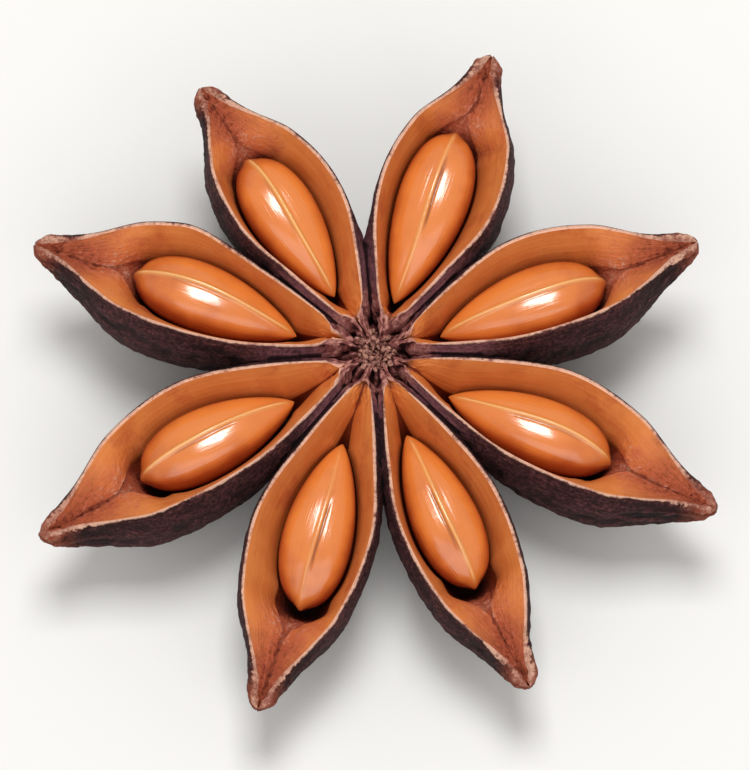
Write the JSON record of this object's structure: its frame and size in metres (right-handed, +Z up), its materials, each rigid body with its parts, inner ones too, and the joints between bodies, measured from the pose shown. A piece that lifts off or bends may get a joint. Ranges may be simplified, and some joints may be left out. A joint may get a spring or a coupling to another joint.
{
  "type": "star anise pod",
  "caption": "Dried woody star-shaped spice pod: boat-shaped carpels round a short column, split open along their upper seams, each holding a glossy seed. Lies on its keels, seams up.",
  "frame": {"origin": "middle of the pod's footprint, on the surface that the keels of its carpels rest on", "axes": "+Z up, out of the open seams. +X and +Y lie in the plane of the star, and the first carpel points 18 degrees to the left of +X"},
  "size_m": [0.0384, 0.0376, 0.0098],
  "materials": {
    "husk": "dry wrinkled dark purple-brown bark outside, smooth tan walls inside, pale thin lips",
    "seed": "hard polished seed coat, orange-brown, with a paler fine ridge along the top"
  },
  "bodies": {
    "root": {"husk": "husk", "seed_1": "seed", "seed_2": "seed", "seed_3": "seed", "seed_4": "seed", "seed_5": "seed", "seed_6": "seed", "seed_7": "seed", "seed_8": "seed"}
  },
  "joints": []
}
